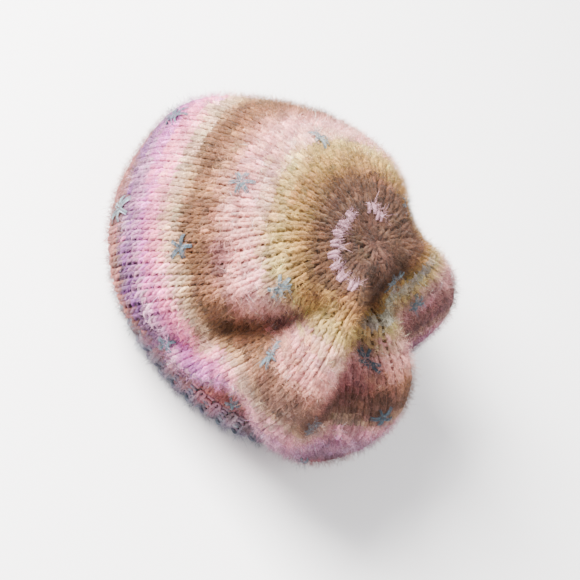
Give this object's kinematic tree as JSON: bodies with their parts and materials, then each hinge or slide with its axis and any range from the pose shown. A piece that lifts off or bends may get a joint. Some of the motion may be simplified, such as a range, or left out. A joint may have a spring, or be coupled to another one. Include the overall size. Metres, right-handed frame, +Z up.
{
  "type": "slouch beret",
  "caption": "Soft knitted slouch beret: a hollow gathered crown, smooth on one side and folded on the other, on an open ribbed band.",
  "frame": {"origin": "centre of the footprint, on the surface the hat rests on", "axes": "+Z up, +X along the head's long way towards the folded side of the crown, -Y towards the side with the long crease"},
  "size_m": [0.2398, 0.1974, 0.1448],
  "materials": {
    "crown_knit": "soft wool knit in bands of brown, khaki, pink, cream and lilac",
    "band_knit": "soft wool rib in blue-grey and rose"
  },
  "bodies": {
    "root": {"crown": "crown_knit", "rib_band": "band_knit"}
  },
  "joints": []
}
